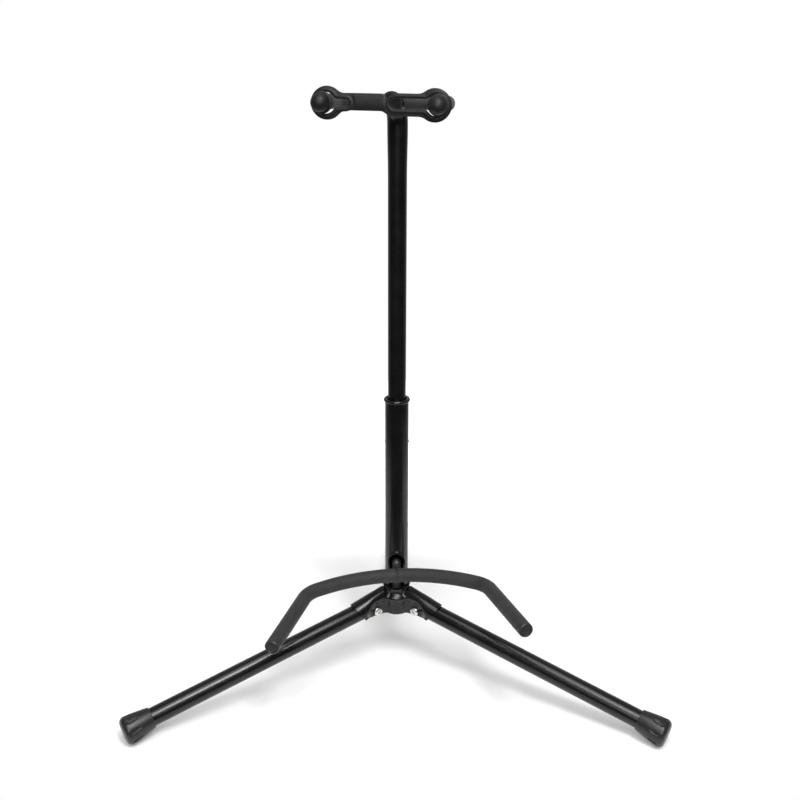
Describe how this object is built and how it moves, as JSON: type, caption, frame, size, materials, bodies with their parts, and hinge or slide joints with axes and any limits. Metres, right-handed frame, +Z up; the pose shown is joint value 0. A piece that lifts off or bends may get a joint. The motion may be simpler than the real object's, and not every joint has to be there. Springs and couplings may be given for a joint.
{
  "type": "guitar stand",
  "caption": "Folding tubular guitar stand on splayed legs, with a slotted shaft, a padded cradle for the body, and a padded yoke with a strap for the neck.",
  "frame": {"origin": "on the floor, at the middle of the box around the stand", "axes": "+Z up, along the shaft; the cradle and the yoke open towards -Y; +X to the right of somebody who faces them"},
  "size_m": [0.5694, 0.4962, 0.6483],
  "materials": {
    "black_paint": "gloss black powder coat",
    "black_rubber": "satin moulded rubber",
    "black_foam": "matt foam rubber sleeve",
    "black_plastic": "moulded nylon",
    "zinc": "bright zinc plating",
    "spring_steel": "bare spring strip"
  },
  "bodies": {
    "hub": {"pivot_screw_front_left": "zinc", "pivot_nut_front_left": "zinc", "pivot_screw_front_right": "zinc", "pivot_nut_front_right": "zinc", "pivot_screw_rear": "zinc", "pivot_nut_rear": "zinc", "hub_plate_front": "black_paint", "hub_plate_right": "black_paint", "hub_plate_left": "black_paint", "hub_socket": "black_plastic"},
    "leg_front_left": {"leg_front_left": "black_paint", "foot_front_left": "black_rubber"},
    "leg_front_right": {"leg_front_right": "black_paint", "foot_front_right": "black_rubber"},
    "leg_rear": {"leg_rear": "black_paint", "foot_rear": "black_rubber"},
    "lower_shaft": {"lower_tube": "black_paint", "shaft_bush": "black_plastic"},
    "cradle": {"cradle_rod": "black_paint", "cradle_sleeve_left": "black_foam", "cradle_cap_left": "black_rubber", "cradle_sleeve_right": "black_foam", "cradle_cap_right": "black_rubber"},
    "upper_shaft": {"upper_tube": "black_paint", "upper_tube_glide": "black_plastic", "button_spring": "spring_steel", "crook_plug": "black_plastic", "yoke_rod": "black_paint", "yoke_sleeve_left": "black_foam", "yoke_ball_left": "black_rubber", "yoke_sleeve_right": "black_foam", "yoke_ball_right": "black_rubber"},
    "snap_button_left": {"snap_button_left": "zinc"},
    "snap_button_right": {"snap_button_right": "zinc"},
    "strap": {"neck_strap": "black_rubber"}
  },
  "joints": [
    {"name": "leg_fold_front_left", "type": "hinge", "parent": "hub", "child": "leg_front_left", "pos_m": [-0.02252, -0.08894, 0.07169], "axis": [0.5, -0.866, 0], "range_deg": [0, 75]},
    {"name": "leg_fold_front_right", "type": "hinge", "parent": "hub", "child": "leg_front_right", "pos_m": [0.02252, -0.08894, 0.07169], "axis": [0.5, 0.866, 0], "range_deg": [0, 75]},
    {"name": "leg_fold_rear", "type": "hinge", "parent": "hub", "child": "leg_rear", "pos_m": [0, -0.04994, 0.07169], "axis": [-1, 0, 0], "range_deg": [0, 75]},
    {"name": "shaft_lift", "type": "slide", "parent": "hub", "child": "lower_shaft", "axis": [0, 0, 1], "range_m": [0, 0.06]},
    {"name": "cradle_lift", "type": "slide", "parent": "hub", "child": "cradle", "axis": [0, 0, 1], "range_m": [0, 0.018]},
    {"name": "height_slide", "type": "slide", "parent": "lower_shaft", "child": "upper_shaft", "axis": [0, 0, 1], "range_m": [-0.09, 0.05], "deforming": ["button_spring", "snap_button_left", "snap_button_right"]},
    {"name": "button_press_left", "type": "slide", "parent": "upper_shaft", "child": "snap_button_left", "axis": [1, 0, 0], "range_m": [0, 0.0035], "stiffness_N_per_m": 1500, "springref_m": -0.002, "deforming": ["button_spring"]},
    {"name": "button_press_right", "type": "slide", "parent": "upper_shaft", "child": "snap_button_right", "axis": [-1, 0, 0], "range_m": [0, 0.0035], "stiffness_N_per_m": 1500, "springref_m": -0.002, "deforming": ["button_spring"]},
    {"name": "strap_slide", "type": "slide", "parent": "upper_shaft", "child": "strap", "axis": [-0.1989, -0.9778, 0.0663], "range_m": [-0.0045, 0]}
  ]
}
